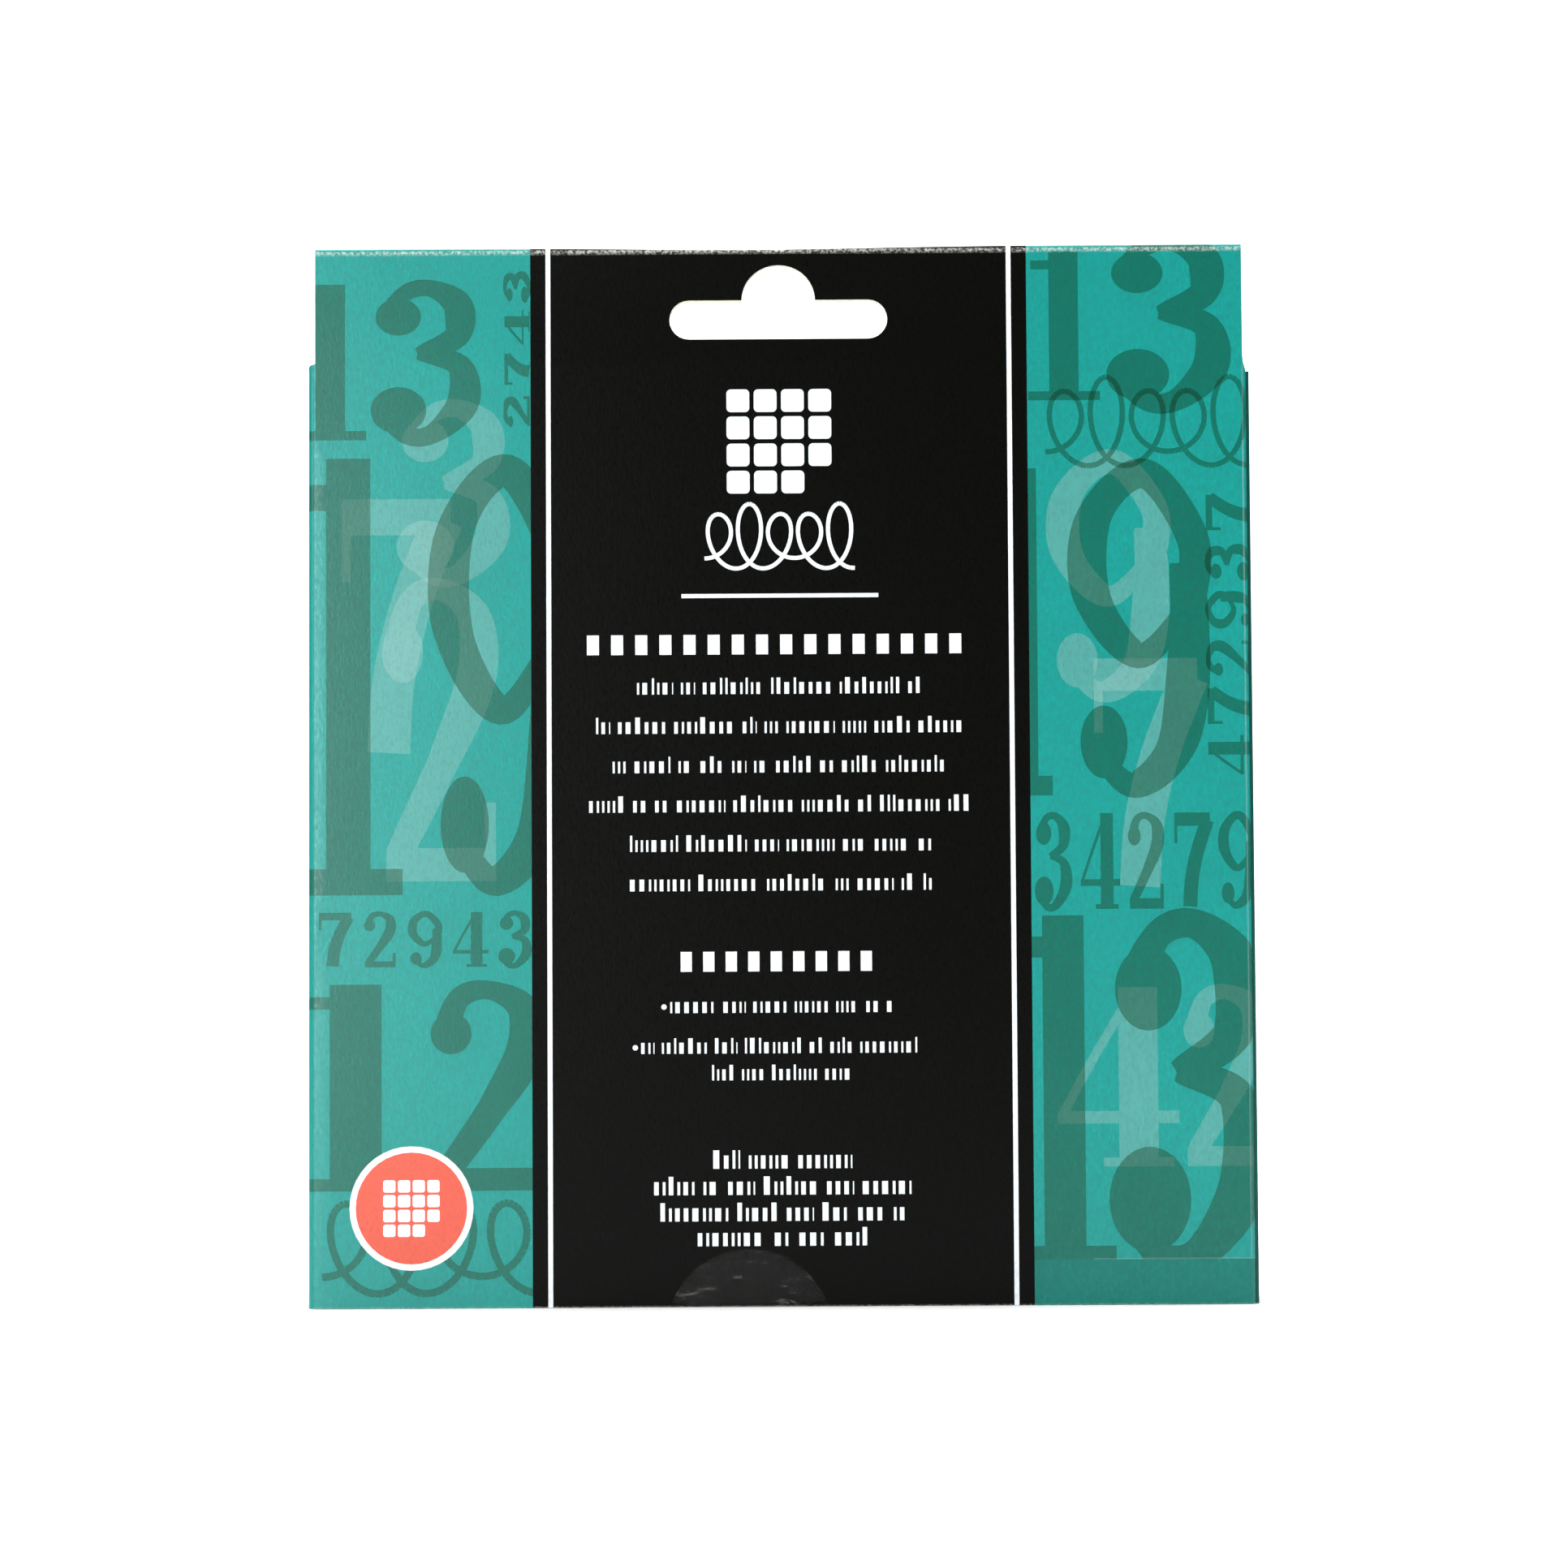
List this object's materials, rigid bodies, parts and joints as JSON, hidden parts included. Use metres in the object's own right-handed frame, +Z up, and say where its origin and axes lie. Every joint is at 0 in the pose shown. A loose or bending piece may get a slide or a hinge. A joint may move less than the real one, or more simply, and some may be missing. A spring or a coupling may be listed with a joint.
{
  "type": "sliding tile puzzle",
  "caption": "Metal-faced sliding tile puzzle with its booklet in a flat printed carton with a folded hanging header, a hinged tuck lid and a windowed front.",
  "frame": {"origin": "middle of the base, on the surface that the carton stands on", "axes": "+Z up, +Y out of the windowed front, +X to the right seen from the carton's back"},
  "size_m": [0.138, 0.0161, 0.155],
  "materials": {
    "printed_board": "satin coated board printed teal and black",
    "bare_board": "uncoated inside of the folding board",
    "clear_film": "clear gloss film, scuffed",
    "insert_card": "matte black card",
    "booklet_cover": "satin cover stock",
    "booklet_pages": "uncoated paper",
    "staple_wire": "bright wire",
    "back_plate": "bead blasted",
    "tray_plastic": "fine textured black plastic",
    "frame_metal": "brushed",
    "screw_steel": "dark zinc",
    "carrier_plastic": "moulded black plastic",
    "tile_metal": "brushed, with etched numerals"
  },
  "bodies": {
    "carton": {"back_panel": "printed_board", "front_panel": "printed_board", "left_side_panel": "printed_board", "right_side_panel": "printed_board", "seam_flap": "bare_board", "header_back_ply": "printed_board", "header_front_ply": "printed_board", "base_flap": "printed_board", "base_tuck": "bare_board", "base_dust_flap_left": "bare_board", "base_dust_flap_right": "bare_board", "clear_seal": "clear_film", "insert_face": "insert_card", "insert_legs": "insert_card", "booklet_cover": "booklet_cover", "booklet_pages": "booklet_pages", "booklet_staples": "staple_wire", "puzzle_back_plate": "back_plate", "puzzle_tray": "tray_plastic", "puzzle_frame": "frame_metal", "frame_screws": "screw_steel"},
    "lid": {"lid_flap": "printed_board"},
    "tuck": {"lid_tuck": "bare_board"},
    "dust_left": {"lid_dust_flap_left": "bare_board"},
    "dust_right": {"lid_dust_flap_right": "bare_board"},
    "tile_01": {"tile_01_carrier": "carrier_plastic", "tile_01_face": "tile_metal"},
    "tile_02": {"tile_02_carrier": "carrier_plastic", "tile_02_face": "tile_metal"},
    "tile_03": {"tile_03_carrier": "carrier_plastic", "tile_03_face": "tile_metal"},
    "tile_04": {"tile_04_carrier": "carrier_plastic", "tile_04_face": "tile_metal"},
    "tile_05": {"tile_05_carrier": "carrier_plastic", "tile_05_face": "tile_metal"},
    "tile_06": {"tile_06_carrier": "carrier_plastic", "tile_06_face": "tile_metal"},
    "tile_07": {"tile_07_carrier": "carrier_plastic", "tile_07_face": "tile_metal"},
    "tile_08": {"tile_08_carrier": "carrier_plastic", "tile_08_face": "tile_metal"},
    "tile_09": {"tile_09_carrier": "carrier_plastic", "tile_09_face": "tile_metal"},
    "tile_10": {"tile_10_carrier": "carrier_plastic", "tile_10_face": "tile_metal"},
    "tile_11": {"tile_11_carrier": "carrier_plastic", "tile_11_face": "tile_metal"},
    "tile_12": {"tile_12_carrier": "carrier_plastic", "tile_12_face": "tile_metal"},
    "tile_13": {"tile_13_carrier": "carrier_plastic", "tile_13_face": "tile_metal"},
    "tile_14": {"tile_14_carrier": "carrier_plastic", "tile_14_face": "tile_metal"},
    "tile_15": {"tile_15_carrier": "carrier_plastic", "tile_15_face": "tile_metal"}
  },
  "joints": [
    {"name": "lid_hinge", "type": "hinge", "parent": "carton", "child": "lid", "pos_m": [0, -0.00705, 0.1372], "axis": [1, 0, 0], "range_deg": [0, 88]},
    {"name": "lid_tuck_fold", "type": "hinge", "parent": "lid", "child": "tuck", "pos_m": [0, 0.00675, 0.13675], "axis": [1, 0, 0], "range_deg": [-66, 0]},
    {"name": "lid_dust_fold_left", "type": "hinge", "parent": "carton", "child": "dust_left", "pos_m": [-0.06855, 0, 0.1362], "axis": [0, -1, 0], "range_deg": [0, 88]},
    {"name": "lid_dust_fold_right", "type": "hinge", "parent": "carton", "child": "dust_right", "pos_m": [0.06855, 0, 0.1362], "axis": [0, 1, 0], "range_deg": [0, 88]},
    {"name": "row_slide_tile_13", "type": "slide", "parent": "carton", "child": "tile_13", "axis": [-1, 0, 0], "range_m": [0, 0.021]},
    {"name": "row_slide_tile_14", "type": "slide", "parent": "carton", "child": "tile_14", "axis": [-1, 0, 0], "range_m": [0, 0.021]},
    {"name": "row_slide_tile_15", "type": "slide", "parent": "carton", "child": "tile_15", "axis": [-1, 0, 0], "range_m": [0, 0.021]},
    {"name": "column_slide_tile_04", "type": "slide", "parent": "carton", "child": "tile_04", "axis": [0, 0, 1], "range_m": [-0.021, 0]},
    {"name": "column_slide_tile_08", "type": "slide", "parent": "carton", "child": "tile_08", "axis": [0, 0, 1], "range_m": [-0.021, 0]},
    {"name": "column_slide_tile_12", "type": "slide", "parent": "carton", "child": "tile_12", "axis": [0, 0, 1], "range_m": [-0.021, 0]},
    {"name": "tile_01_play", "type": "slide", "parent": "carton", "child": "tile_01", "axis": [-1, 0, 0], "range_m": [-0.00015, 0.00015]},
    {"name": "tile_02_play", "type": "slide", "parent": "carton", "child": "tile_02", "axis": [-1, 0, 0], "range_m": [-0.00015, 0.00015]},
    {"name": "tile_03_play", "type": "slide", "parent": "carton", "child": "tile_03", "axis": [-1, 0, 0], "range_m": [-0.00015, 0.00015]},
    {"name": "tile_05_play", "type": "slide", "parent": "carton", "child": "tile_05", "axis": [-1, 0, 0], "range_m": [-0.00015, 0.00015]},
    {"name": "tile_06_play", "type": "slide", "parent": "carton", "child": "tile_06", "axis": [-1, 0, 0], "range_m": [-0.00015, 0.00015]},
    {"name": "tile_07_play", "type": "slide", "parent": "carton", "child": "tile_07", "axis": [-1, 0, 0], "range_m": [-0.00015, 0.00015]},
    {"name": "tile_09_play", "type": "slide", "parent": "carton", "child": "tile_09", "axis": [-1, 0, 0], "range_m": [-0.00015, 0.00015]},
    {"name": "tile_10_play", "type": "slide", "parent": "carton", "child": "tile_10", "axis": [-1, 0, 0], "range_m": [-0.00015, 0.00015]},
    {"name": "tile_11_play", "type": "slide", "parent": "carton", "child": "tile_11", "axis": [-1, 0, 0], "range_m": [-0.00015, 0.00015]}
  ],
  "couplings": [
    {"joint": "lid_tuck_fold", "follows": "lid_hinge", "ratio": -0.75},
    {"joint": "lid_dust_fold_left", "follows": "lid_hinge", "ratio": 1},
    {"joint": "lid_dust_fold_right", "follows": "lid_hinge", "ratio": 1},
    {"joint": "row_slide_tile_14", "follows": "row_slide_tile_13", "ratio": 1},
    {"joint": "row_slide_tile_15", "follows": "row_slide_tile_13", "ratio": 1},
    {"joint": "column_slide_tile_08", "follows": "column_slide_tile_04", "ratio": 1},
    {"joint": "column_slide_tile_12", "follows": "column_slide_tile_04", "ratio": 1}
  ]
}
